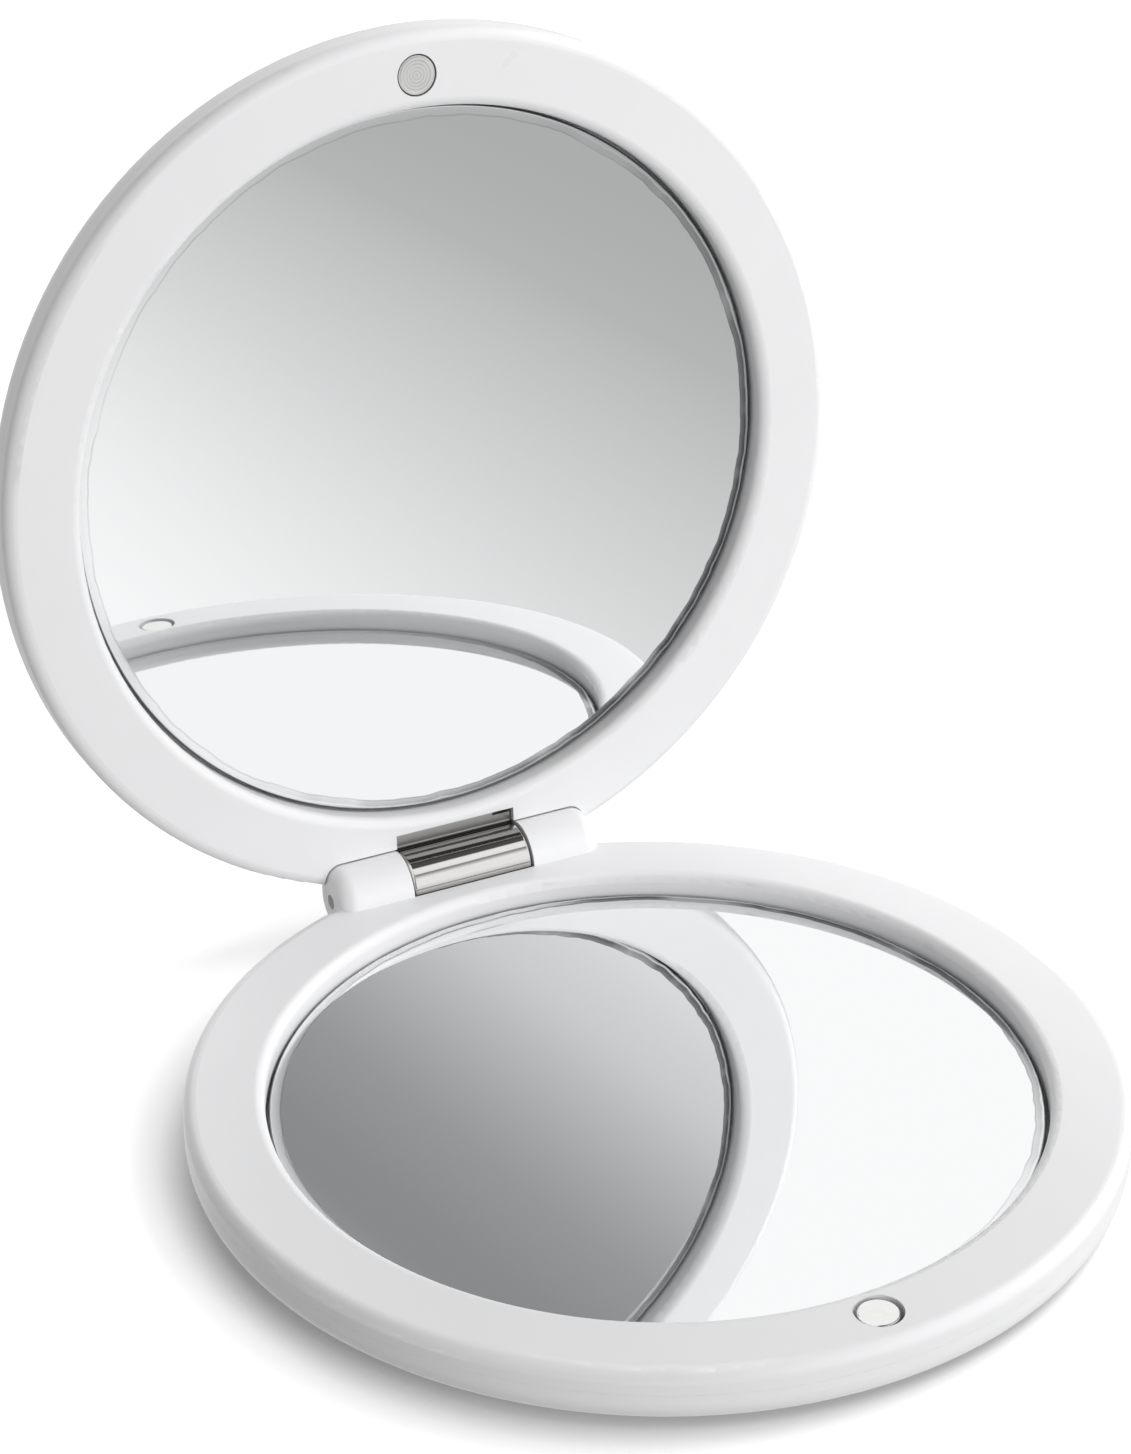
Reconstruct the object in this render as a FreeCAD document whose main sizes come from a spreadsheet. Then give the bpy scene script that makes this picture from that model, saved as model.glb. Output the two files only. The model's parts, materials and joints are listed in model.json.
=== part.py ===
import FreeCAD, Part
import math
import os
import Sketcher

# A round compact mirror: two shallow white halves, a round mirror in each, joined by a hinge with a
# metal barrel. Lengths in millimetres. The base rests on z = 0, the hinge lies at +Y along X.
# Each lid piece is drawn with its outer face on z = 0 and its hinge at -Y, then turned open about the hinge.

DIMENSIONS = (
    ("case_radius", 35.0),
    ("half_height", 4.55),
    ("edge_round", 1.0),
    ("under_round", 2.0),
    ("shell_wall", 0.9),
    ("shell_floor", 0.85),
    ("shell_inner_round", 1.2),
    ("seam_drop", 1.8),
    ("seam_gap", 0.01),
    ("frame_side_gap", 0.08),
    ("frame_floor_gap", 0.02),
    ("rim_width", 6.0),
    ("recess_round", 0.8),
    ("frame_floor", 0.63),
    ("glass_thickness", 1.1),
    ("glass_side_gap", 0.22),
    ("glass_bevel", 0.2),
    ("pad_thickness", 0.15),
    ("pad_inset", 0.6),
    ("parting_gap", 0.3),
    ("hinge_inset", 1.0),
    ("axis_rise", -0.3),
    ("hinge_length", 23.0),
    ("knuckle_radius", 2.8),
    ("knuckle_end_round", 1.3),
    ("web_depth", 1.2),
    ("barrel_radius", 2.7),
    ("barrel_length", 10.4),
    ("barrel_end_round", 0.2),
    ("barrel_end_gap", 0.15),
    ("swing_gap", 0.1),
    ("seat_gap", 0.05),
    ("pin_radius", 0.6),
    ("pin_sink", 0.7),
    ("pin_press_gap", 0.01),
    ("pin_running_gap", 0.04),
    ("leaf_thickness", 0.8),
    ("leaf_drop", 0.4),
    ("leaf_reach", 4.0),
    ("leaf_blend", 0.3),
    ("leaf_fit_gap", 0.03),
    ("leg_thickness", 0.7),
    ("leg_depth", 2.6),
    ("relief_width", 1.7),
    ("relief_length", 0.45),
    ("relief_depth", 1.2),
    ("clasp_inset", 3.35),
    ("magnet_radius", 1.5),
    ("magnet_thickness", 1.5),
    ("magnet_drop", 0.15),
    ("magnet_gap", 0.28),
    ("magnet_bed", 0.05),
    ("disc_radius", 1.55),
    ("disc_thickness", 1.0),
    ("disc_drop", 0.06),
    ("disc_gap", 0.05),
    ("disc_bed", 0.04),
    ("metal_edge_round", 0.12),
    ("open_angle", 94.0),
)

RIM = "Sizes.half_height"
RECESS_RADIUS = "(Sizes.case_radius - Sizes.rim_width)"
HINGE_REACH = "(Sizes.case_radius - Sizes.hinge_inset)"
CLASP_REACH = "(Sizes.case_radius - Sizes.clasp_inset)"
SEAM = "Sizes.half_height - Sizes.seam_drop"
MOST_ROUND = 0.9
UNDER_ROUND = "min(Sizes.under_round; %s * (%s))" % (MOST_ROUND, SEAM)
FRAME_LIP = SEAM + " + Sizes.seam_gap"
FRAME_FOOT = "Sizes.shell_floor + Sizes.frame_floor_gap"
RECESS_FLOOR = FRAME_FOOT + " + Sizes.frame_floor"
GLASS_FOOT = RECESS_FLOOR + " + Sizes.pad_thickness"
GLASS_TOP = GLASS_FOOT + " + Sizes.glass_thickness"
GLASS_RADIUS = RECESS_RADIUS + " - Sizes.glass_side_gap"
SHELL_INSIDE = "Sizes.case_radius - Sizes.shell_wall"
BASE_AXIS = "Sizes.half_height + Sizes.axis_rise"
LID_AXIS = "Sizes.half_height + Sizes.parting_gap - Sizes.axis_rise"
LEAF_TOP = "Sizes.half_height - Sizes.leaf_drop"
LEAF_FOOT = LEAF_TOP + " - Sizes.leaf_thickness"
LEG_FOOT = LEAF_TOP + " - Sizes.leg_depth"
LEAF_END = "Sizes.leaf_reach - " + HINGE_REACH
BARREL_SWING = "Sizes.barrel_radius + Sizes.swing_gap"
NOTCH_LENGTH = "Sizes.barrel_length + 2 * Sizes.barrel_end_gap"
LEAF_SLOT_LENGTH = "Sizes.barrel_length + 2 * Sizes.leaf_fit_gap"
BEYOND = "Sizes.case_radius + 2"

doc = FreeCAD.newDocument("compact_mirror")
sizes = doc.addObject("Spreadsheet::Sheet", "Sizes")


def fill_sheet():
    """Write every driving dimension with its word beside it."""
    for row, (word, number) in enumerate(DIMENSIONS, start=1):
        sizes.set("A%d" % row, word)
        sizes.set("B%d" % row, str(number))
        sizes.setAlias("B%d" % row, word)
    doc.recompute()


def value(text):
    """Number that an expression stands for."""
    return float(sizes.evalExpression(text))


def new_body(label):
    body = doc.addObject("PartDesign::Body", label)
    body.Label = label
    return body


def plane_sketch(body, name, role):
    """Sketch on one of the body's own origin planes."""
    plane = next(item for item in body.Origin.OriginFeatures if item.Role == role)
    sketch = body.newObject("Sketcher::SketchObject", name)
    sketch.AttachmentSupport = (plane, [""])
    sketch.MapMode = "FlatFace"
    return sketch


def hold_point(sketch, curve, end, across, up):
    """Hold one point of a curve at two expressions."""
    for kind, axis, text in (("DistanceX", -2, across), ("DistanceY", -1, up)):
        amount = value(text)
        if abs(amount) < 1e-9:
            sketch.addConstraint(Sketcher.Constraint("PointOnObject", curve, end, axis))
        else:
            index = sketch.addConstraint(Sketcher.Constraint(kind, -1, 1, curve, end, amount))
            sketch.setExpression("Constraints[%d]" % index, text)


def hold_radius(sketch, curve, text):
    index = sketch.addConstraint(Sketcher.Constraint("Radius", curve, value(text)))
    sketch.setExpression("Constraints[%d]" % index, text)


def spot(pair):
    """Point of the sketch plane for a pair of expressions."""
    return FreeCAD.Vector(value(pair[0]), value(pair[1]), 0)


def toward(corner, other):
    """The point of a square corner where its rounding starts on the side of another corner."""
    across, up, rounding = corner
    step = spot(other) - spot(corner)
    if abs(step.x) > abs(step.y):
        sign = "+" if step.x > 0 else "-"
        return "(%s) %s (%s)" % (across, sign, rounding), up
    sign = "+" if step.y > 0 else "-"
    return across, "(%s) %s (%s)" % (up, sign, rounding)


def corner_ends(corners):
    """Where the sides arrive at and leave each corner."""
    ends = []
    for index, corner in enumerate(corners):
        if corner[2] is None:
            ends.append((corner[:2], corner[:2]))
        else:
            following = corners[(index + 1) % len(corners)]
            ends.append((toward(corner, corners[index - 1]), toward(corner, following)))
    return ends


def round_corner(sketch, corner, arrive, leave, before, after):
    """Arc that joins two sides at a rounded corner."""
    first, last = spot(arrive), spot(leave)
    centre = first + last - spot(corner)
    turn = (first - centre).cross(last - centre).z
    links = ((before, 2, first), (after, 1, last)) if turn > 0 else ((after, 1, last), (before, 2, first))
    angles = [math.atan2(link[2].y - centre.y, link[2].x - centre.x) for link in links]
    if angles[1] < angles[0]:
        angles[1] += 2 * math.pi
    circle = Part.Circle(centre, FreeCAD.Vector(0, 0, 1), value(corner[2]))
    arc = sketch.addGeometry(Part.ArcOfCircle(circle, angles[0], angles[1]))
    for end, (side, side_end, place) in enumerate(links, start=1):
        sketch.addConstraint(Sketcher.Constraint("Coincident", arc, end, side, side_end))
    hold_radius(sketch, arc, corner[2])


def outline(sketch, corners):
    """Closed outline of square corners, each an (across, up, rounding or None)."""
    ends = corner_ends(corners)
    count = len(corners)
    sides = []
    for index in range(count):
        start = spot(ends[index][1])
        stop = spot(ends[(index + 1) % count][0])
        sides.append(sketch.addGeometry(Part.LineSegment(start, stop)))
    for index, corner in enumerate(corners):
        arrive, leave = ends[index]
        hold_point(sketch, sides[index], 1, *leave)
        if corner[2] is None:
            sketch.addConstraint(Sketcher.Constraint("Coincident", sides[index - 1], 2, sides[index], 1))
        else:
            hold_point(sketch, sides[index - 1], 2, *arrive)
            round_corner(sketch, corner, arrive, leave, sides[index - 1], sides[index])


def ring(sketch, across, up, radius):
    """Circle held at two expressions."""
    circle = sketch.addGeometry(Part.Circle(spot((across, up)), FreeCAD.Vector(0, 0, 1), value(radius)))
    hold_point(sketch, circle, 3, across, up)
    hold_radius(sketch, circle, radius)


def turned(body, name, corners):
    """Solid of revolution about the body's upright axis."""
    sketch = plane_sketch(body, name + "_outline", "XZ_Plane")
    outline(sketch, corners)
    doc.recompute()
    feature = body.newObject("PartDesign::Revolution", name)
    feature.Profile = sketch
    feature.ReferenceAxis = (sketch, ["V_Axis"])
    feature.Angle = 360
    doc.recompute()
    return feature


def along_hinge(body, kind, name, sketch, length):
    """Pad or pocket that runs evenly both ways from the middle of the hinge."""
    doc.recompute()
    feature = body.newObject("PartDesign::" + kind, name)
    feature.Profile = sketch
    feature.SideType = "Symmetric"
    feature.setExpression("Length", length)
    doc.recompute()
    return feature


def hinge_round(body, kind, name, side, radius, length):
    """Round bar or round cut about the hinge axis, which lies at +Y or -Y by the side."""
    sketch = plane_sketch(body, name + "_outline", "YZ_Plane")
    ring(sketch, "%d * %s" % (side, HINGE_REACH), BASE_AXIS if side > 0 else LID_AXIS, radius)
    return along_hinge(body, kind, name, sketch, length)


def hinge_block(body, kind, name, corners, length):
    """Bar or cut with a square-cornered section along the hinge."""
    sketch = plane_sketch(body, name + "_outline", "YZ_Plane")
    outline(sketch, corners)
    return along_hinge(body, kind, name, sketch, length)


def clasp_hole(body, side, piece):
    """Round blind hole down into the rim for one of the clasp's metal discs."""
    name = piece + "_hole"
    sketch = plane_sketch(body, name + "_outline", "XY_Plane")
    depth = "(Sizes.{0}_thickness + Sizes.{0}_drop + Sizes.{0}_bed)".format(piece)
    sketch.setExpression("AttachmentOffset.Base.z", "%s - %s" % (RIM, depth))
    ring(sketch, "0", "%d * %s" % (side, CLASP_REACH), "Sizes.{0}_radius + Sizes.{0}_gap".format(piece))
    doc.recompute()
    feature = body.newObject("PartDesign::Pocket", name)
    feature.Profile = sketch
    feature.Type = "ThroughAll"
    feature.Reversed = True
    doc.recompute()


def round_edges(body, name, base, radius, wanted):
    """Rounding of the edges of a feature that pass a test."""
    names = ["Edge%d" % number for number, edge in enumerate(base.Shape.Edges, start=1) if wanted(edge)]
    feature = body.newObject("PartDesign::Fillet", name)
    feature.Base = (base, names)
    feature.setExpression("Radius", radius)
    doc.recompute()
    return feature


def open_lid(body):
    """Place a lid piece at its opening about the hinge."""
    turn = "(180 - Sizes.open_angle)"
    body.Placement = FreeCAD.Placement(FreeCAD.Vector(), FreeCAD.Rotation(FreeCAD.Vector(1, 0, 0), 1))
    body.setExpression("Placement.Rotation.Angle", turn)
    along = "%s * (1 + cos(%s * 1deg)) + (%s) * sin(%s * 1deg)"
    body.setExpression("Placement.Base.y", along % (HINGE_REACH, turn, LID_AXIS, turn))
    rise = "%s - (%s) * cos(%s * 1deg) + %s * sin(%s * 1deg)"
    body.setExpression("Placement.Base.z", rise % (BASE_AXIS, LID_AXIS, turn, HINGE_REACH, turn))
    doc.recompute()


def shell_corners():
    return (
        ("0", "0", None),
        ("Sizes.case_radius", "0", UNDER_ROUND),
        ("Sizes.case_radius", SEAM, None),
        (SHELL_INSIDE, SEAM, None),
        (SHELL_INSIDE, "Sizes.shell_floor", "Sizes.shell_inner_round"),
        ("0", "Sizes.shell_floor", None),
    )


def frame_corners():
    spigot = SHELL_INSIDE + " - Sizes.frame_side_gap"
    return (
        ("0", FRAME_FOOT, None),
        (spigot, FRAME_FOOT, "Sizes.shell_inner_round"),
        (spigot, FRAME_LIP, None),
        ("Sizes.case_radius", FRAME_LIP, None),
        ("Sizes.case_radius", RIM, "Sizes.edge_round"),
        (RECESS_RADIUS, RIM, "Sizes.recess_round"),
        (RECESS_RADIUS, RECESS_FLOOR, None),
        ("0", RECESS_FLOOR, None),
    )


def knuckle_room(body, side, gap):
    """Cut that follows the knuckles and their rounded ends at a gap."""
    sketch = plane_sketch(body, "knuckle_room_outline", "XY_Plane")
    sketch.setExpression("AttachmentOffset.Base.y", "%d * %s" % (side, HINGE_REACH))
    sketch.setExpression("AttachmentOffset.Base.z", BASE_AXIS if side > 0 else LID_AXIS)
    end = "Sizes.hinge_length / 2 + " + gap
    start = "-1 * (%s)" % end
    reach = "Sizes.knuckle_radius + " + gap
    corner = "Sizes.knuckle_end_round + " + gap
    outline(sketch, ((start, "0", None), (end, "0", None), (end, reach, corner), (start, reach, corner)))
    doc.recompute()
    feature = body.newObject("PartDesign::Groove", "knuckle_room")
    feature.Profile = sketch
    feature.ReferenceAxis = (sketch, ["H_Axis"])
    feature.Angle = 360
    doc.recompute()


def base_shell():
    body = new_body("base_shell")
    turned(body, "base_dish", shell_corners())
    knuckle_room(body, 1, "Sizes.seat_gap")
    hinge_round(body, "Pocket", "barrel_room", 1, BARREL_SWING, NOTCH_LENGTH)


def is_full_circle(edge):
    return isinstance(edge.Curve, Part.Circle) and len(edge.Vertexes) == 1


def base_frame():
    body = new_body("base_frame")
    bar = hinge_round(body, "Pad", "knuckles", 1, "Sizes.knuckle_radius", "Sizes.hinge_length")
    round_edges(body, "knuckle_ends", bar, "Sizes.knuckle_end_round", is_full_circle)
    turned(body, "base_rim", frame_corners())
    web_start = HINGE_REACH + " - Sizes.knuckle_radius"
    web_foot = RIM + " - Sizes.web_depth"
    web = ((web_start, web_foot, None), (HINGE_REACH, web_foot, None),
           (HINGE_REACH, RIM, None), (web_start, RIM, None))
    web_length = "Sizes.hinge_length - 2 * Sizes.knuckle_end_round"
    hinge_block(body, "Pad", "knuckle_web", web, web_length)
    hinge_round(body, "Pocket", "barrel_notch", 1, BARREL_SWING, NOTCH_LENGTH)
    hole = "Sizes.pin_radius + Sizes.pin_press_gap"
    hinge_round(body, "Pocket", "pin_hole", 1, hole, "Sizes.hinge_length + 2")
    clasp_hole(body, -1, "magnet")


def lid_shell():
    body = new_body("lid_shell")
    turned(body, "lid_dish", shell_corners())
    knuckle_room(body, -1, "Sizes.swing_gap")
    hinge_round(body, "Pocket", "barrel_room", -1, BARREL_SWING, NOTCH_LENGTH)
    open_lid(body)


def lid_frame():
    body = new_body("lid_frame")
    turned(body, "lid_rim", frame_corners())
    knuckle_room(body, -1, "Sizes.swing_gap")
    hinge_round(body, "Pocket", "barrel_room", -1, BARREL_SWING, NOTCH_LENGTH)
    notch_end = LEAF_END + " + Sizes.leaf_fit_gap"
    notch_floor = LEAF_FOOT + " - Sizes.leaf_fit_gap"
    above = RIM + " + 1"
    rear = "-1 * (%s)" % BEYOND
    notch = ((rear, notch_floor, None), (notch_end, notch_floor, None),
             (notch_end, above, None), (rear, above, None))
    hinge_block(body, "Pocket", "leaf_notch", notch, LEAF_SLOT_LENGTH)
    slot_floor = LEG_FOOT + " - Sizes.leaf_fit_gap"
    slot_near = LEAF_END + " - Sizes.leg_thickness - Sizes.leaf_fit_gap"
    slot = ((slot_near, slot_floor, None), (notch_end, slot_floor, None),
            (notch_end, LEAF_TOP, None), (slot_near, LEAF_TOP, None))
    hinge_block(body, "Pocket", "leg_slot", slot, LEAF_SLOT_LENGTH)
    clasp_hole(body, 1, "disc")
    open_lid(body)


def mirror(label):
    """Round glass with a ground bevel at its upper edge."""
    body = new_body(label)
    corners = (("0", GLASS_FOOT, None), (GLASS_RADIUS, GLASS_FOOT, None),
               (GLASS_RADIUS, GLASS_TOP, "Sizes.glass_bevel"), ("0", GLASS_TOP, None))
    turned(body, label + "_glass", corners)
    return body


def mirror_pad(label):
    body = new_body(label)
    radius = GLASS_RADIUS + " - Sizes.pad_inset"
    corners = (("0", RECESS_FLOOR, None), (radius, RECESS_FLOOR, None),
               (radius, GLASS_FOOT, None), ("0", GLASS_FOOT, None))
    turned(body, label + "_film", corners)
    return body


def clasp_piece(label, side, radius, thickness, drop):
    """Metal disc that lies in its hole in the rim."""
    body = new_body(label)
    sketch = plane_sketch(body, label + "_outline", "XY_Plane")
    sketch.setExpression("AttachmentOffset.Base.z", "%s - %s - %s" % (RIM, drop, thickness))
    ring(sketch, "0", "%d * %s" % (side, CLASP_REACH), radius)
    doc.recompute()
    feature = body.newObject("PartDesign::Pad", label + "_disc")
    feature.Profile = sketch
    feature.setExpression("Length", thickness)
    doc.recompute()
    round_edges(body, label + "_edges", feature, "Sizes.metal_edge_round", is_full_circle)
    return body


def hinge_leaf():
    body = new_body("hinge_leaf")
    hinge_round(body, "Pad", "barrel", -1, "Sizes.barrel_radius", "Sizes.barrel_length")
    root = "-1 * " + HINGE_REACH
    inner = LEAF_END + " - Sizes.leg_thickness"
    section = ((root, LEAF_FOOT, None), (inner, LEAF_FOOT, None), (inner, LEG_FOOT, None),
               (LEAF_END, LEG_FOOT, None), (LEAF_END, LEAF_TOP, "Sizes.leg_thickness / 3"),
               (root, LEAF_TOP, None))
    leaf = hinge_block(body, "Pad", "leaf", section, "Sizes.barrel_length")
    top = value(LEAF_TOP)
    half = value("Sizes.barrel_length") / 2

    def at_barrel(edge):
        middle = edge.CenterOfMass
        return edge.Length > half and abs(middle.z - top) < 0.01 and middle.y < value(inner) - 0.2

    def at_end(edge):
        return all(abs(abs(vertex.X) - half) < 0.001 for vertex in edge.Vertexes) and edge.Length < half

    blend = round_edges(body, "leaf_blend", leaf, "Sizes.leaf_blend", at_barrel)
    round_edges(body, "leaf_ends", blend, "Sizes.barrel_end_round", at_end)
    hinge_round(body, "Pocket", "bore", -1, "Sizes.pin_radius + Sizes.pin_running_gap",
                "Sizes.barrel_length + 2")
    leaf_relief(body)
    open_lid(body)


def leaf_relief(body):
    """Small corner relief at one end of the leaf."""
    sketch = plane_sketch(body, "relief_outline", "XY_Plane")
    sketch.setExpression("AttachmentOffset.Base.z", LEAF_TOP + " - Sizes.relief_depth")
    far = "Sizes.barrel_length / 2 + 1"
    near = "Sizes.barrel_length / 2 - Sizes.relief_width"
    back = LEAF_END + " - Sizes.relief_length"
    front = LEAF_END + " + 1"
    outline(sketch, ((near, back, None), (far, back, None), (far, front, None), (near, front, None)))
    doc.recompute()
    feature = body.newObject("PartDesign::Pocket", "relief")
    feature.Profile = sketch
    feature.Type = "ThroughAll"
    feature.Reversed = True
    doc.recompute()


def hinge_pin():
    body = new_body("hinge_pin")
    length = "Sizes.hinge_length - 2 * Sizes.pin_sink"
    bar = hinge_round(body, "Pad", "pin", 1, "Sizes.pin_radius", length)
    round_edges(body, "pin_ends", bar, "Sizes.metal_edge_round", is_full_circle)


def write_parts():
    """Check every object, then write each body to its own file."""
    for item in doc.Objects:
        if "Invalid" in item.State or "Error" in item.State:
            raise RuntimeError("object in error: " + item.Name)
    os.makedirs("parts", exist_ok=True)
    for body in doc.findObjects("PartDesign::Body"):
        shape = body.Shape
        if shape.isNull() or not shape.isValid() or len(shape.Solids) != 1:
            raise RuntimeError("bad shape: %s with %d solids" % (body.Label, len(shape.Solids)))
        shape.exportStep("parts/%s.step" % body.Label)
        box = shape.BoundBox
        print("%s volume %.2f y %.2f..%.2f z %.2f..%.2f"
              % (body.Label, shape.Volume, box.YMin, box.YMax, box.ZMin, box.ZMax))


fill_sheet()
base_shell()
base_frame()
mirror("base_mirror")
mirror_pad("base_mirror_pad")
clasp_piece("base_magnet", -1, "Sizes.magnet_radius", "Sizes.magnet_thickness", "Sizes.magnet_drop")
hinge_pin()
lid_shell()
lid_frame()
open_lid(mirror("lid_mirror"))
open_lid(mirror_pad("lid_mirror_pad"))
open_lid(clasp_piece("lid_clasp_disc", 1, "Sizes.disc_radius", "Sizes.disc_thickness", "Sizes.disc_drop"))
hinge_leaf()
write_parts()
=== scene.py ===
import json
import math

import bpy
from bpy.props import FloatProperty, FloatVectorProperty, PointerProperty
from mathutils import Matrix, Vector


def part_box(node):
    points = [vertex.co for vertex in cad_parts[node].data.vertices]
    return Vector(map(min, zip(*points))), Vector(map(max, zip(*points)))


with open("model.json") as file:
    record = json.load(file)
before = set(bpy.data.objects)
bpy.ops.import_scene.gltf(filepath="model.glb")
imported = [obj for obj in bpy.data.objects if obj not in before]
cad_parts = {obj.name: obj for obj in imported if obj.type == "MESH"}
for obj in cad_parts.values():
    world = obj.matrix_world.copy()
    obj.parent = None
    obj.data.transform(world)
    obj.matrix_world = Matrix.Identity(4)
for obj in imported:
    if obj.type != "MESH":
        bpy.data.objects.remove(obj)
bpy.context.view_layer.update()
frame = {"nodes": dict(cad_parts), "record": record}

bl_info = {
    "name": "Compact Mirror",
    "version": (1, 0, 0),
    "blender": (4, 5, 0),
    "location": "3D View > Sidebar > Compact",
    "description": "Finishes of a round folding compact mirror, and its studio",
    "category": "Object",
}

CASES = ("base_shell", "base_frame", "lid_shell", "lid_frame")
PADS = ("base_mirror_pad", "lid_mirror_pad")
WHITE = (1, 1, 1)
HALF = 0.5

# Finishes. Stops are pairs of a place and the value there, sizes are in metres.
CLOUD_DETAIL = 3.0
GRAIN_DETAIL = 1.0

PLASTIC_SHINE = 0.5
PLASTIC_DARKER = 0.985
PLASTIC_LIGHTER = 1.015
PLASTIC_SWING = 0.05

# Places along the edge of a mirror are shares of its width, from the rim inwards.
# Painted shade of the gap beside the glass, together with the dark cut side of the glass.
EDGE_GAP_SHADE = ((0.0, 0.9), (0.10, 0.9), (0.17, 0.0))
# Painted highlight: a white band across the edge, where the glass catches the bright hinge leaf.
EDGE_PAINTED_HIGHLIGHT = ((0.14, 0.0), (0.22, 1.0), (0.58, 1.0), (0.66, 0.0))
# A thin dark line, partly the edge of the silvering and partly a painted reflection of the gap.
EDGE_LINE = ((0.66, 0.0), (0.71, 0.85), (0.77, 0.85), (0.84, 0.0))
# Painted shade on the shaded side: the gap and the shaded recess wall as seen in the glass.
EDGE_PAINTED_SHADE = (
    (0.0, 1.0), (0.14, 1.0), (0.20, 0.25), (0.28, 0.25),
    (0.36, 0.95), (0.60, 0.85), (0.78, 0.7), (0.84, 0.0))
EDGE_ROUGHNESS = ((0.0, 0.25), (0.75, 0.12))
EDGE_END = 0.85
EDGE_UNEVEN = ((0.35, 0.55), (0.50, 1.0))
LINE_LEAST = 0.25
# Waves and chips run round the rim of a circle of radius 1.
WAVE_SIZE = 0.24
CHIP_SIZE = 0.07
# The side of a rim with painted shade and the part with a painted highlight lie about a direction from its
# middle.
SHADED_FROM = -0.2
SHADED_TO = 0.9
# How far round the given side the painted highlight reaches.
HIGHLIGHT_REACH = ((0.90, 0.0), (0.97, 1.0))
HIGHLIGHT_ROUGHNESS = (0.5, 0.5, 0.5)
# Directions of each mirror's painted shade, and of the base mirror's painted highlight.
BASE_SHADED_SIDE = (0.75, 0.65, 0)
BASE_HIGHLIGHT_SIDE = (-0.145, 0.99, 0)
LID_SHADED_SIDE = (0.88, -0.48, 0)

# Places on the turned disc are shares of its radius.
TURNED_CLOUD = 0.0012
TURNED_GRAIN = 0.00012
TURNED_SCRATCH = 0.3
TURNED_MARK = 0.60
# Painted shade of the gap round the disc, as a share of the steel's colour.
TURNED_GAP_SHADE = 0.12
TURNED_ROUGH_LOW = 0.36
TURNED_ROUGH_HIGH = 0.54
# Where the painted shade of the gap lies at the disc's rim.
GAP_SHADE_STOPS = ((0.94, 0.0), (0.965, 1.0))
LIP_STOPS = ((0.82, 0.0), (0.93, 1.0))

PLATED_GRAIN = 0.0004
PLATED_SHADE = 0.96

# Places across the hinge leaf are shares of the barrel's diameter, heights shares of its radius.
LEAF_CLOUD = 0.003
LEAF_GRAIN = 0.0003
BARREL_END = 0.503
CREASE_START = 0.508
CREASE_END = 0.54
PLATE_START = 0.56
# Painted shade in the crease between the barrel and the plate.
CREASE_SHADE = 0.3
# Painted shade at the foot and the top of the barrel; the plate above is fully lit.
LEAF_LIT = ((0.10, 0.0), (0.40, 1.0), (0.86, 1.0), (0.92, 0.0), (1.0, 0.0), (1.0, 1.0))
LEAF_POLISH = (0.94, 0.94, 0.94)
LEAF_UNLIT = (0.38, 0.37, 0.36)
LEAF_ROUGHNESS = ((BARREL_END, 0.05), (0.52, 0.30))

FILM_SHINE = 0.4
FILM_CLOUD = 0.002
FILM_GRAIN = 0.0003
FILM_SHADE = 0.9
FILM_ROUGH_LOW = 0.45
FILM_ROUGH_HIGH = 0.65

# Studio. The room goes from the front by way of the top to the back, in half turns.
ROOM_STOPS = (
    (0.02, 1.0), (0.048, 0.71), (0.056, 0.65), (0.063, 0.546), (0.073, 0.424), (0.081, 0.349),
    (0.096, 0.283), (0.105, 0.283), (0.115, 1.0), (0.22, 1.0), (0.24, 0.08), (0.47, 0.08), (0.50, 1.0))
# The floor that the mirrors show goes from the middle to the right, in shares of its reach, as painted shade
# that greys away from the middle.
FLOOR_STOPS = (
    (0.0, 0.98), (0.10, 0.92), (0.175, 0.866), (0.29, 0.78), (0.40, 0.70), (0.54, 0.614),
    (0.67, 0.54), (0.75, 0.49), (0.87, 0.46), (1.0, 0.44))
FLOOR_REACH = 0.120
FLOOR_TURN = 0.05
FLOOR_HALF = 2.0
FLOOR_LEVEL = -0.00005
FLOOR_LIFT = 0.36
FLOOR_BOUNCE = (0.40, 0.40, 0.40)
# Painted contact shadow on the floor, gathered by ambient occlusion from this side and within this reach.
CONTACT_SIDE = (0.60, 0.15, 0.79)
CONTACT_REACH = 0.0045
CONTACT_RAYS = 16
CONTACT_STOPS = ((0.30, 0.45), (0.70, 0.93), (0.95, 1.0))

# Each lamp's name, place and width. They all point at one spot.
LAMPS = (
    ("key", (0.22, 0.02, 0.17), 0.16),
    ("fill", (0.16, -0.60, 0.17), 0.40),
    ("back", (0.02, 0.54, 0.20), 0.25),
)
LAMP_SPOT = (0, 0.01, 0.03)

SENSOR_WIDTH = 36
CLIP_NEAR = 0.01
CLIP_FAR = 20


def mount(name):
    """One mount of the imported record."""
    return next(item for item in frame["record"]["mounts"] if item["name"] == name)


def node_middle(name):
    """Middle and span of a CAD node's box at rest."""
    low, high = (Vector(corner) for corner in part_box(name))
    return (low + high) / 2, high - low


def lid_turn():
    """How far the lid's own frame is turned about X, from its outer face."""
    axis = mount("lid_outer_face")["axis"]
    return math.atan2(axis[1], -axis[2])


class CompactCase(bpy.types.PropertyGroup):
    """Plastic of both halves"""
    colour: FloatVectorProperty(
        name="Colour", description="Colour of the moulded plastic", subtype="COLOR",
        size=3, min=0, max=1, default=(0.86, 0.86, 0.87))
    roughness: FloatProperty(
        name="Roughness", description="Mean roughness of the gloss", subtype="FACTOR",
        min=0, max=1, default=0.30)
    cloud_size: FloatProperty(
        name="Cloud size", description="Width of the slow unevenness of the gloss", subtype="DISTANCE",
        unit="LENGTH", default=0.006)
    grain_size: FloatProperty(
        name="Grain size", description="Width of the fine moulded grain", subtype="DISTANCE",
        unit="LENGTH", default=0.0005)
    grain_depth: FloatProperty(
        name="Grain depth", description="Depth of the fine moulded grain", subtype="DISTANCE",
        unit="LENGTH", precision=6, default=0.0000012)


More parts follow.
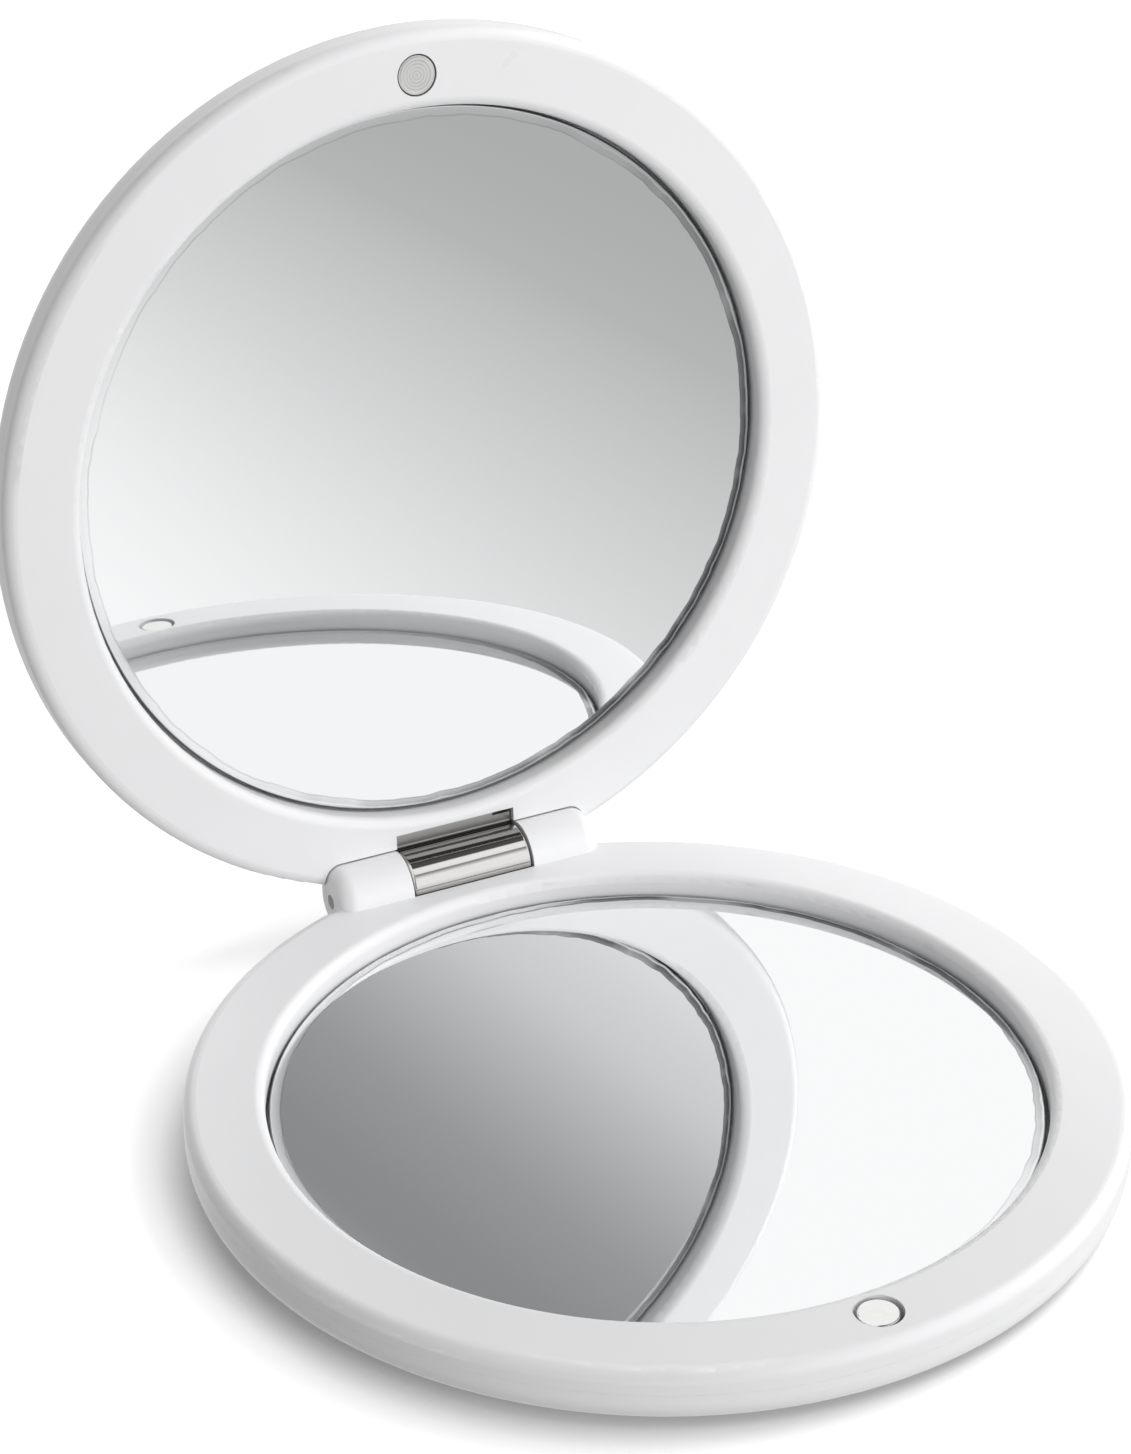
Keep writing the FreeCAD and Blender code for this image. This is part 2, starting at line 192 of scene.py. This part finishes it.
class CompactGlass(bpy.types.PropertyGroup):
    """Silvered glass of both mirrors"""
    tint: FloatVectorProperty(
        name="Tint", description="Colour of the silvered glass", subtype="COLOR",
        size=3, min=0, max=1, default=(0.940, 0.950, 0.955))
    roughness: FloatProperty(
        name="Roughness", description="Roughness of the polished face", subtype="FACTOR",
        min=0, max=1, default=0.012)
    edge_width: FloatProperty(
        name="Edge width", description="Width of the cut edge of the glass", subtype="DISTANCE",
        unit="LENGTH", precision=5, default=0.0011)
    edge_wander: FloatProperty(
        name="Edge wander", description="How far the lines drift, as a share of the edge", subtype="FACTOR",
        min=0, max=2, default=0.60)
    edge_chip: FloatProperty(
        name="Edge chips", description="How far small chips throw the lines, as a share of the edge",
        subtype="FACTOR", min=0, max=2, default=0.22)
    # Colour of the painted shade and the painted reflection lines at the mirrors' edge.
    edge_dark: FloatVectorProperty(
        name="Edge dark", description="Colour of the dark lines of the edge", subtype="COLOR",
        size=3, min=0, max=1, default=(0.09, 0.095, 0.10))


class CompactMetal(bpy.types.PropertyGroup):
    """Metal of the hinge and the clasp"""
    chrome: FloatVectorProperty(
        name="Chrome", description="Colour of the plated hinge barrel", subtype="COLOR",
        size=3, min=0, max=1, default=(0.80, 0.79, 0.78))
    chrome_wave: FloatProperty(
        name="Chrome wave", description="Depth of the slow unevenness of the chrome", subtype="DISTANCE",
        unit="LENGTH", precision=6, default=0.000003)
    satin: FloatVectorProperty(
        name="Satin", description="Colour of the leaf's satin plate", subtype="COLOR",
        size=3, min=0, max=1, default=(0.47, 0.47, 0.46))
    nickel: FloatVectorProperty(
        name="Nickel", description="Colour of the plated magnet", subtype="COLOR",
        size=3, min=0, max=1, default=(0.90, 0.895, 0.875))
    steel: FloatVectorProperty(
        name="Steel", description="Colour of the turned disc", subtype="COLOR",
        size=3, min=0, max=1, default=(0.95, 0.95, 0.935))
    # The pin's dark steel is partly painted shade of the hole it sits in.
    pin: FloatVectorProperty(
        name="Pin", description="Colour of the dark steel pin", subtype="COLOR",
        size=3, min=0, max=1, default=(0.28, 0.28, 0.28))
    ring_pitch: FloatProperty(
        name="Ring pitch", description="Distance between the turning marks", subtype="DISTANCE",
        unit="LENGTH", precision=5, default=0.00026)
    ring_depth: FloatProperty(
        name="Ring depth", description="Depth of the turning marks", subtype="DISTANCE",
        unit="LENGTH", precision=6, default=0.000003)
    lip_height: FloatProperty(
        name="Lip height", description="Height of the low lip round the turned disc", subtype="DISTANCE",
        unit="LENGTH", precision=5, default=0.00004)


class CompactPad(bpy.types.PropertyGroup):
    """Adhesive under both mirrors"""
    colour: FloatVectorProperty(
        name="Colour", description="Colour of the adhesive film", subtype="COLOR",
        size=3, min=0, max=1, default=(0.78, 0.78, 0.73))


class CompactStage(bpy.types.PropertyGroup):
    """Camera and light"""
    camera_place: FloatVectorProperty(
        name="Camera place", description="Where the camera stands", subtype="TRANSLATION",
        unit="LENGTH", size=3, default=(-0.10619, -0.19584, 0.15450))
    camera_yaw: FloatProperty(
        name="Camera yaw", description="Turn of the view about the upright", subtype="ANGLE",
        unit="ROTATION", default=math.radians(-26.735))
    camera_pitch: FloatProperty(
        name="Camera pitch", description="How far the view points down", subtype="ANGLE",
        unit="ROTATION", default=math.radians(28.453))
    camera_roll: FloatProperty(
        name="Camera roll", description="Turn of the view about its own line", subtype="ANGLE",
        unit="ROTATION", default=math.radians(-0.098))
    lens: FloatProperty(
        name="Lens", description="Focal length in millimetres on a 36 mm sensor", default=89.39)
    ambient: FloatProperty(
        name="Ambient", description="Strength of the even light from all round", default=0.40)
    screen_slant: FloatProperty(
        name="Screen slant", description="Slant of the grey screen that the mirrors see", subtype="ANGLE",
        unit="ROTATION", default=math.radians(90))
    key_power: FloatProperty(
        name="Key power", description="Power of the small lamp on the right", unit="POWER", default=0.46)
    fill_power: FloatProperty(
        name="Fill power", description="Power of the large lamp in front", unit="POWER", default=2.55)
    back_power: FloatProperty(
        name="Back power", description="Power of the lamp behind the lid", unit="POWER", default=1.1)


def place(tree, kind, feeds=None, **settings):
    """Add a node with its options, each socket fed by another socket or set to a value."""
    node = tree.nodes.new(kind)
    for key, setting in settings.items():
        setattr(node, key, setting)
    for key, feed in (feeds or {}).items():
        socket = node.inputs[key]
        if isinstance(feed, bpy.types.NodeSocket):
            tree.links.new(feed, socket)
        else:
            socket.default_value = feed
    return node


def math_node(tree, operation, *feeds):
    """Result of one sum."""
    return place(tree, "ShaderNodeMath", dict(enumerate(feeds)), operation=operation).outputs[0]


def vector_node(tree, operation, *feeds):
    """Results of one sum with vectors."""
    return place(tree, "ShaderNodeVectorMath", dict(enumerate(feeds)), operation=operation).outputs


def opaque(colour):
    """Colour with full alpha."""
    return (*colour, 1)


def ramp(tree, factor, stops):
    """Colour ramp through greys or colours at the given places."""
    node = place(tree, "ShaderNodeValToRGB", {"Fac": factor})
    points = node.color_ramp.elements
    while len(points) < len(stops):
        points.new(HALF)
    for point, (position, shade) in zip(points, stops):
        point.position = position
        point.color = opaque((shade, shade, shade) if isinstance(shade, float) else shade)
    return node.outputs["Color"]


def vary(tree, factor, low, high, start=0.0, end=1.0):
    """A value that goes from one limit to another while the factor goes from start to end."""
    feeds = {"Value": factor, "From Min": start, "From Max": end, "To Min": low, "To Max": high}
    return place(tree, "ShaderNodeMapRange", feeds).outputs["Result"]


def swing(tree, factor, width):
    """A factor about its middle, spread over a width."""
    return math_node(tree, "MULTIPLY", math_node(tree, "SUBTRACT", factor, HALF), width)


def blend(tree, factor, first, second, mode="MIX"):
    """Mix of two colours, whose sockets on the node are the seventh and eighth."""
    feeds = {"Factor": factor, 6: first, 7: second}
    return place(tree, "ShaderNodeMix", feeds, data_type="RGBA", blend_type=mode).outputs[2]


def new_group(name, inputs, outputs):
    """Empty shader node group with named sockets."""
    tree = bpy.data.node_groups.new(name, "ShaderNodeTree")
    for word, kind in inputs:
        tree.interface.new_socket(name=word, in_out="INPUT", socket_type=kind)
    for word, kind in outputs:
        tree.interface.new_socket(name=word, in_out="OUTPUT", socket_type=kind)
    return tree, tree.nodes.new("NodeGroupInput"), tree.nodes.new("NodeGroupOutput")


def surface_group():
    """Slow clouds and fine grain of a finished surface."""
    name = "Surface clouds and grain"
    if name in bpy.data.node_groups:
        return bpy.data.node_groups[name]
    tree, start, end = new_group(
        name,
        (("Place", "NodeSocketVector"), ("Cloud Size", "NodeSocketFloat"), ("Grain Size", "NodeSocketFloat")),
        (("Clouds", "NodeSocketFloat"), ("Grain", "NodeSocketFloat")))
    for source, target, detail in (
            ("Cloud Size", "Clouds", CLOUD_DETAIL), ("Grain Size", "Grain", GRAIN_DETAIL)):
        scale = math_node(tree, "DIVIDE", 1.0, start.outputs[source])
        feeds = {"Vector": start.outputs["Place"], "Scale": scale, "Detail": detail}
        noise = place(tree, "ShaderNodeTexNoise", feeds)
        tree.links.new(noise.outputs[0], end.inputs[target])
    return tree


def round_group():
    """Distance and direction from the axis of a round piece, and rings about it."""
    name = "Round about its axis"
    if name in bpy.data.node_groups:
        return bpy.data.node_groups[name]
    tree, start, end = new_group(
        name,
        (("Place", "NodeSocketVector"), ("Pitch", "NodeSocketFloat")),
        (("Radius", "NodeSocketFloat"), ("Direction", "NodeSocketVector"), ("Rings", "NodeSocketFloat")))
    flat = vector_node(tree, "MULTIPLY", start.outputs["Place"], (1, 1, 0))[0]
    length = vector_node(tree, "LENGTH", flat)["Value"]
    tree.links.new(length, end.inputs["Radius"])
    tree.links.new(vector_node(tree, "NORMALIZE", flat)[0], end.inputs["Direction"])
    turns = math_node(tree, "DIVIDE", length, start.outputs["Pitch"])
    wave = math_node(tree, "SINE", math_node(tree, "MULTIPLY", turns, 2 * math.pi))
    tree.links.new(math_node(tree, "MULTIPLY_ADD", wave, HALF, HALF), end.inputs["Rings"])
    return tree


def use_group(tree, group, feeds):
    """Outputs of a node group that is placed with its own values."""
    return place(tree, "ShaderNodeGroup", feeds, node_tree=group).outputs


def surface(tree, vector, cloud, grain):
    """Clouds and grain of the given sizes."""
    feeds = {"Place": vector, "Cloud Size": cloud, "Grain Size": grain}
    outputs = use_group(tree, surface_group(), feeds)
    return outputs["Clouds"], outputs["Grain"]


def bare_tree(owner):
    """Emptied node tree of a material or a world."""
    owner.use_nodes = True
    owner.node_tree.nodes.clear()
    return owner.node_tree


def new_finish(name, **values):
    """Material with a bare Principled shader, and the shader's own constants."""
    material = bpy.data.materials.new(name)
    tree = bare_tree(material)
    shader = place(tree, "ShaderNodeBsdfPrincipled", values)
    place(tree, "ShaderNodeOutputMaterial", {"Surface": shader.outputs[0]})
    return material, tree, shader


def object_place(tree):
    """Object coordinates."""
    return place(tree, "ShaderNodeTexCoord").outputs["Object"]


def own_place(tree, origin, turn):
    """Object coordinates taken about a point and turned about X."""
    feeds = {"Vector": object_place(tree), "Location": origin, "Rotation": (turn, 0, 0)}
    return place(tree, "ShaderNodeMapping", feeds, vector_type="TEXTURE").outputs[0]


def coat(tree, shader, colour, rough):
    """Feed a shader its colour and roughness."""
    tree.links.new(colour, shader.inputs["Base Color"])
    tree.links.new(rough, shader.inputs["Roughness"])


def bump(tree, shader, height, depth):
    """Raise the surface by a height of a given depth."""
    node = place(tree, "ShaderNodeBump", {"Height": height, "Distance": depth, "Strength": 1.0})
    tree.links.new(node.outputs["Normal"], shader.inputs["Normal"])


def dress(material, *names):
    """Give CAD nodes a finish."""
    for name in names:
        for slot in frame["nodes"][name].material_slots:
            slot.material = material


def white_plastic(settings):
    """Smooth moulded plastic with a soft gloss."""
    material, tree, shader = new_finish("white moulded plastic", **{"Specular IOR Level": PLASTIC_SHINE})
    clouds, grain = surface(tree, object_place(tree), settings.cloud_size, settings.grain_size)
    colour = Vector(settings.colour)
    shade = blend(tree, clouds, opaque(colour * PLASTIC_DARKER), opaque(colour * PLASTIC_LIGHTER))
    rough = vary(tree, clouds, settings.roughness - PLASTIC_SWING, settings.roughness + PLASTIC_SWING)
    coat(tree, shader, shade, rough)
    bump(tree, shader, grain, settings.grain_depth)
    return material


def mirror_glass(name, settings, origin, turn, radius, shaded_side, highlight_side=None):
    """Silvered glass with wandering lines at its edge: painted shade of the gap, a thin line that is partly
    the silvering's edge and partly a painted reflection of the gap, more painted shade on the shaded side,
    and a white painted highlight towards a given side.
    """
    material, tree, shader = new_finish(name, Metallic=1.0)
    vector = own_place(tree, origin, turn)
    rounds = use_group(tree, round_group(), {"Place": vector, "Pitch": settings.edge_width})
    outward = rounds["Direction"]
    waves, chips = surface(tree, outward, WAVE_SIZE, CHIP_SIZE)
    inset = math_node(tree, "SUBTRACT", radius, rounds["Radius"])
    share = math_node(tree, "DIVIDE", inset, settings.edge_width)
    drift = swing(tree, waves, settings.edge_wander)
    nick = swing(tree, chips, settings.edge_chip)
    crooked = math_node(tree, "ADD", share, math_node(tree, "ADD", drift, nick))
    toward_shaded_side = vector_node(tree, "DOT_PRODUCT", outward, shaded_side)["Value"]
    side = vary(tree, toward_shaded_side, 0.0, 1.0, SHADED_FROM, SHADED_TO)
    # Painted shade on the shaded side, and a thin dark line all round that is partly the silvering's edge and
    # partly a painted reflection of the gap.
    painted_edge_shade = math_node(tree, "MULTIPLY", ramp(tree, crooked, EDGE_PAINTED_SHADE), side)
    line = math_node(tree, "MULTIPLY", ramp(tree, crooked, EDGE_LINE), vary(tree, side, LINE_LEAST, 1.0))
    uneven = ramp(tree, waves, EDGE_UNEVEN)
    spots = math_node(tree, "MULTIPLY", math_node(tree, "MAXIMUM", line, painted_edge_shade), uneven)
    # Painted shade of the gap all round the rim.
    dark = math_node(tree, "MAXIMUM", ramp(tree, share, EDGE_GAP_SHADE), spots)
    colour = blend(tree, dark, opaque(settings.tint), opaque(settings.edge_dark))
    rough = ramp(tree, share, (*EDGE_ROUGHNESS, (EDGE_END, settings.roughness)))
    # Painted highlight: a white, rougher band on the given side of the edge.
    if highlight_side:
        toward_highlight_side = vector_node(tree, "DOT_PRODUCT", outward, highlight_side)["Value"]
        reach = ramp(tree, toward_highlight_side, HIGHLIGHT_REACH)
        painted_highlight = math_node(tree, "MULTIPLY", reach, ramp(tree, crooked, EDGE_PAINTED_HIGHLIGHT))
        colour = blend(tree, painted_highlight, colour, opaque(WHITE))
        rough = blend(tree, painted_highlight, rough, opaque(HIGHLIGHT_ROUGHNESS))
    coat(tree, shader, colour, rough)
    return material


def turned_steel(settings, origin, turn, radius):
    """Steel faced on a lathe: rings about its middle, a low lip, and painted shade of the gap round its rim.
    """
    material, tree, shader = new_finish("turned steel", Metallic=1.0)
    vector = own_place(tree, origin, turn)
    clouds, grain = surface(tree, vector, TURNED_CLOUD, TURNED_GRAIN)
    rounds = use_group(tree, round_group(), {"Place": vector, "Pitch": settings.ring_pitch})
    share = math_node(tree, "DIVIDE", rounds["Radius"], radius)
    steel = Vector(settings.steel)
    marks = math_node(tree, "MULTIPLY", rounds["Rings"], clouds)
    face = blend(tree, marks, opaque(steel), opaque(steel * TURNED_MARK))
    # Painted shade of the gap round the disc's rim.
    colour = blend(tree, ramp(tree, share, GAP_SHADE_STOPS), face, opaque(steel * TURNED_GAP_SHADE))
    coat(tree, shader, colour, vary(tree, clouds, TURNED_ROUGH_LOW, TURNED_ROUGH_HIGH))
    lip = math_node(tree, "MULTIPLY", ramp(tree, share, LIP_STOPS), settings.lip_height)
    lines = math_node(tree, "MULTIPLY_ADD", grain, TURNED_SCRATCH, rounds["Rings"])
    height = math_node(tree, "MULTIPLY_ADD", lines, settings.ring_depth, lip)
    bump(tree, shader, height, 1.0)
    return material


def plated(name, colour, rough_low, rough_high, wave_size, wave_depth):
    """Bright plating with a faint unevenness."""
    material, tree, shader = new_finish(name, Metallic=1.0)
    clouds, grain = surface(tree, object_place(tree), wave_size, PLATED_GRAIN)
    tint = Vector(colour)
    shade = blend(tree, grain, opaque(tint * PLATED_SHADE), opaque(tint))
    coat(tree, shader, shade, vary(tree, clouds, rough_low, rough_high))
    bump(tree, shader, clouds, wave_depth)
    return material


def chrome_leaf(settings, axis, radius):
    """Polished chrome barrel with painted shade at its foot and top, painted shade in the crease, and a satin
    plate beyond.
    """
    material, tree, shader = new_finish("chrome leaf", Metallic=1.0)
    vector = own_place(tree, axis, 0)
    clouds, grain = surface(tree, vector, LEAF_CLOUD, LEAF_GRAIN)
    across = vector_node(tree, "MULTIPLY", vector, (0, 1, 1))[0]
    share = math_node(tree, "DIVIDE", vector_node(tree, "LENGTH", across)["Value"], 2 * radius)
    chrome = Vector(settings.chrome)
    satin = Vector(settings.satin)
    # Painted shade in the crease.
    shaded_crease = satin * CREASE_SHADE
    stops = ((BARREL_END, chrome), (CREASE_START, shaded_crease), (CREASE_END, shaded_crease), (PLATE_START, satin))
    tint = ramp(tree, share, stops)
    height = place(tree, "ShaderNodeSeparateXYZ", {0: vector}).outputs["Z"]
    # Painted shade at the barrel's foot and top.
    lit = ramp(tree, math_node(tree, "DIVIDE", height, radius), LEAF_LIT)
    polish = blend(tree, grain, opaque(LEAF_POLISH), opaque(WHITE))
    shade = blend(tree, lit, opaque(LEAF_UNLIT), polish)
    colour = blend(tree, 1.0, tint, shade, mode="MULTIPLY")
    coat(tree, shader, colour, ramp(tree, share, LEAF_ROUGHNESS))
    bump(tree, shader, clouds, settings.chrome_wave)
    return material


def adhesive_film(settings):
    """Cloudy double-sided film."""
    material, tree, shader = new_finish("adhesive film", **{"Specular IOR Level": FILM_SHINE})
    clouds, grain = surface(tree, object_place(tree), FILM_CLOUD, FILM_GRAIN)
    colour = Vector(settings.colour)
    shade = blend(tree, clouds, opaque(colour * FILM_SHADE), opaque(colour))
    coat(tree, shader, shade, vary(tree, grain, FILM_ROUGH_LOW, FILM_ROUGH_HIGH))
    return material


class COMPACT_OT_dress_cases(bpy.types.Operator):
    """Give both halves of the case their white plastic"""
    bl_idname = "compact.dress_cases"
    bl_label = "Dress Cases"

    def execute(self, context):
        dress(white_plastic(context.scene.compact_case), *CASES)
        return {"FINISHED"}


class COMPACT_OT_dress_mirrors(bpy.types.Operator):
    """Give both mirrors their silvered glass, with painted shade and a painted highlight at its cut edge"""
    bl_idname = "compact.dress_mirrors"
    bl_label = "Dress Mirrors"

    def execute(self, context):
        settings = context.scene.compact_glass
        radius = node_middle("base_mirror")[1].x / 2
        base = mirror_glass("base mirror glass", settings, (0, 0, 0), 0, radius, BASE_SHADED_SIDE, BASE_HIGHLIGHT_SIDE)
        dress(base, "base_mirror")
        origin = mount("lid_outer_face")["pos_m"]
        lid = mirror_glass("lid mirror glass", settings, origin, lid_turn(), radius, LID_SHADED_SIDE)
        dress(lid, "lid_mirror")
        return {"FINISHED"}


class COMPACT_OT_dress_pads(bpy.types.Operator):
    """Give the adhesive under both mirrors its cloudy film"""
    bl_idname = "compact.dress_pads"
    bl_label = "Dress Pads"

    def execute(self, context):
        dress(adhesive_film(context.scene.compact_pad), *PADS)
        return {"FINISHED"}


class COMPACT_OT_dress_magnet(bpy.types.Operator):
    """Give the clasp magnet its nickel plating"""
    bl_idname = "compact.dress_magnet"
    bl_label = "Dress Magnet"

    def execute(self, context):
        nickel = plated(
            "nickel plating", context.scene.compact_metal.nickel,
            rough_low=0.10, rough_high=0.20, wave_size=0.0012, wave_depth=0.000002)
        dress(nickel, "base_magnet")
        return {"FINISHED"}


class COMPACT_OT_dress_disc(bpy.types.Operator):
    """Give the lid's clasp disc its turned face"""
    bl_idname = "compact.dress_disc"
    bl_label = "Dress Clasp Disc"

    def execute(self, context):
        origin, span = node_middle("lid_clasp_disc")
        steel = turned_steel(context.scene.compact_metal, origin, lid_turn(), span.x / 2)
        dress(steel, "lid_clasp_disc")
        return {"FINISHED"}


class COMPACT_OT_dress_leaf(bpy.types.Operator):
    """Give the hinge leaf its chrome barrel and satin plate"""
    bl_idname = "compact.dress_leaf"
    bl_label = "Dress Hinge Leaf"

    def execute(self, context):
        axis = node_middle("hinge_pin")[0]
        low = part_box("hinge_leaf")[0]
        dress(chrome_leaf(context.scene.compact_metal, axis, axis.y - low[1]), "hinge_leaf")
        return {"FINISHED"}


class COMPACT_OT_dress_pin(bpy.types.Operator):
    """Give the hinge pin its drawn steel"""
    bl_idname = "compact.dress_pin"
    bl_label = "Dress Hinge Pin"

    def execute(self, context):
        # The pin's dark colour is partly painted shade of the hole it sits in.
        drawn = plated(
            "drawn steel", context.scene.compact_metal.pin,
            rough_low=0.22, rough_high=0.38, wave_size=0.0008, wave_depth=0.000004)
        dress(drawn, "hinge_pin")
        return {"FINISHED"}


def studio_world(settings):
    """White all round for the camera, a lit room for the reflections, even light for the rest."""
    world = bpy.data.worlds.new("studio")
    tree = bare_tree(world)
    way = place(tree, "ShaderNodeTexCoord").outputs["Generated"]
    parts = place(tree, "ShaderNodeSeparateXYZ", {0: way}).outputs
    front = math_node(tree, "MULTIPLY", parts["Y"], -1.0)
    angle = math_node(tree, "ARCTAN2", parts["Z"], front)
    slanted = math_node(tree, "MULTIPLY_ADD", parts["X"], -settings.screen_slant, angle)
    room = ramp(tree, math_node(tree, "DIVIDE", slanted, math.pi), ROOM_STOPS)
    rays = place(tree, "ShaderNodeLightPath").outputs
    seen = place(tree, "ShaderNodeBackground", {"Color": opaque(WHITE), "Strength": 1.0})
    mirrored = place(tree, "ShaderNodeBackground", {"Color": room, "Strength": 1.0})
    even = place(tree, "ShaderNodeBackground", {"Color": opaque(WHITE), "Strength": settings.ambient})
    shiny = math_node(tree, "MAXIMUM", rays["Is Glossy Ray"], rays["Is Transmission Ray"])
    unseen = place(tree, "ShaderNodeMixShader", {0: shiny, 1: even.outputs[0], 2: mirrored.outputs[0]})
    every = place(
        tree, "ShaderNodeMixShader",
        {0: rays["Is Camera Ray"], 1: unseen.outputs[0], 2: seen.outputs[0]})
    place(tree, "ShaderNodeOutputWorld", {"Surface": every.outputs[0]})
    bpy.context.scene.world = world


def floor_finish():
    """Pale paper: white to the camera apart from a painted contact shadow, and greyer towards the right in
    reflections as painted shade.
    """
    material = bpy.data.materials.new("pale paper")
    tree = bare_tree(material)
    rays = place(tree, "ShaderNodeLightPath").outputs
    lean = place(tree, "ShaderNodeNormal").outputs["Normal"]
    lean.default_value = Vector(CONTACT_SIDE).normalized()
    feeds = {"Distance": CONTACT_REACH, "Normal": lean}
    # Painted contact shadow from ambient occlusion.
    near = place(tree, "ShaderNodeAmbientOcclusion", feeds, samples=CONTACT_RAYS).outputs["AO"]
    contact_shadow = ramp(tree, near, CONTACT_STOPS)
    tone = blend(tree, rays["Is Camera Ray"], opaque(FLOOR_BOUNCE), contact_shadow)
    paper = place(tree, "ShaderNodeBsdfDiffuse", {"Color": tone})
    lift = math_node(tree, "MULTIPLY", rays["Is Camera Ray"], FLOOR_LIFT)
    glow = place(tree, "ShaderNodeEmission", {"Color": contact_shadow, "Strength": lift})
    seen = place(tree, "ShaderNodeAddShader", {0: paper.outputs[0], 1: glow.outputs[0]})
    # Painted shade: the floor seen in reflections greys away from the middle.
    parts = place(tree, "ShaderNodeSeparateXYZ", {0: object_place(tree)}).outputs
    across = math_node(tree, "MULTIPLY_ADD", parts["Y"], FLOOR_TURN, parts["X"])
    shade = ramp(tree, math_node(tree, "DIVIDE", across, FLOOR_REACH), FLOOR_STOPS)
    mirrored = place(tree, "ShaderNodeEmission", {"Color": shade, "Strength": 1.0})
    both = place(
        tree, "ShaderNodeMixShader",
        {0: rays["Is Glossy Ray"], 1: seen.outputs[0], 2: mirrored.outputs[0]})
    place(tree, "ShaderNodeOutputMaterial", {"Surface": both.outputs[0]})
    return material


def add_floor():
    """Wide floor just under the object."""
    signs = ((-1, -1), (1, -1), (1, 1), (-1, 1))
    corners = [(x * FLOOR_HALF, y * FLOOR_HALF, FLOOR_LEVEL) for x, y in signs]
    mesh = bpy.data.meshes.new("floor")
    mesh.from_pydata(corners, [], [(0, 1, 2, 3)])
    mesh.materials.append(floor_finish())
    floor = bpy.data.objects.new("floor", mesh)
    bpy.context.scene.collection.objects.link(floor)


def add_lamp(name, where, width, power):
    """Square soft lamp that points at the object and stays out of reflections."""
    lamp = bpy.data.lights.new(name, "AREA")
    lamp.shape = "SQUARE"
    lamp.size = width
    lamp.energy = power
    piece = bpy.data.objects.new(name, lamp)
    piece.location = where
    piece.rotation_euler = (Vector(LAMP_SPOT) - Vector(where)).to_track_quat("-Z", "Y").to_euler()
    piece.visible_glossy = False
    bpy.context.scene.collection.objects.link(piece)


def add_camera(settings):
    """Camera at the photographed angle."""
    yaw, pitch = settings.camera_yaw, settings.camera_pitch
    view = Vector((-math.sin(yaw) * math.cos(pitch), math.cos(yaw) * math.cos(pitch), -math.sin(pitch)))
    level = Vector((math.cos(yaw), math.sin(yaw), 0))
    turned = Matrix((level, level.cross(view), -view)).transposed()
    turned = turned @ Matrix.Rotation(settings.camera_roll, 3, "Z")
    lens = bpy.data.cameras.new("camera")
    lens.lens = settings.lens
    lens.sensor_width = SENSOR_WIDTH
    lens.clip_start = CLIP_NEAR
    lens.clip_end = CLIP_FAR
    camera = bpy.data.objects.new("camera", lens)
    camera.matrix_world = Matrix.Translation(settings.camera_place) @ turned.to_4x4()
    bpy.context.scene.collection.objects.link(camera)
    bpy.context.scene.camera = camera


class COMPACT_OT_set_stage(bpy.types.Operator):
    """Set the floor, the light and the camera"""
    bl_idname = "compact.set_stage"
    bl_label = "Set Stage"

    def execute(self, context):
        settings = context.scene.compact_stage
        context.scene.view_settings.view_transform = "Standard"
        studio_world(settings)
        add_floor()
        for name, where, width in LAMPS:
            add_lamp(name, where, width, getattr(settings, name + "_power"))
        add_camera(settings)
        return {"FINISHED"}


class COMPACT_PT_panel(bpy.types.Panel):
    """Finishes and stage of the compact mirror"""
    bl_idname = "COMPACT_PT_panel"
    bl_label = "Compact Mirror"
    bl_space_type = "VIEW_3D"
    bl_region_type = "UI"
    bl_category = "Compact"

    def draw(self, context):
        layout = self.layout
        for word, group in PROPERTY_GROUPS:
            box = layout.box()
            settings = getattr(context.scene, word)
            for key in group.__annotations__:
                box.prop(settings, key)
        for operator in OPERATORS:
            layout.operator(operator.bl_idname)


PROPERTY_GROUPS = (
    ("compact_case", CompactCase),
    ("compact_glass", CompactGlass),
    ("compact_metal", CompactMetal),
    ("compact_pad", CompactPad),
    ("compact_stage", CompactStage),
)
OPERATORS = (
    COMPACT_OT_dress_cases,
    COMPACT_OT_dress_mirrors,
    COMPACT_OT_dress_pads,
    COMPACT_OT_dress_magnet,
    COMPACT_OT_dress_disc,
    COMPACT_OT_dress_leaf,
    COMPACT_OT_dress_pin,
    COMPACT_OT_set_stage,
)


def register():
    """Register the settings, the operators and the panel."""
    for word, group in PROPERTY_GROUPS:
        bpy.utils.register_class(group)
        setattr(bpy.types.Scene, word, PointerProperty(type=group))
    for item in (*OPERATORS, COMPACT_PT_panel):
        bpy.utils.register_class(item)


def unregister():
    """Take back what register added."""
    for item in (COMPACT_PT_panel, *reversed(OPERATORS)):
        bpy.utils.unregister_class(item)
    for word, group in reversed(PROPERTY_GROUPS):
        delattr(bpy.types.Scene, word)
        bpy.utils.unregister_class(group)


def main():
    """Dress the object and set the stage."""
    register()
    bpy.ops.compact.dress_cases()
    bpy.ops.compact.dress_mirrors()
    bpy.ops.compact.dress_pads()
    bpy.ops.compact.dress_magnet()
    bpy.ops.compact.dress_disc()
    bpy.ops.compact.dress_leaf()
    bpy.ops.compact.dress_pin()
    bpy.ops.compact.set_stage()


if __name__ == "__main__":
    main()
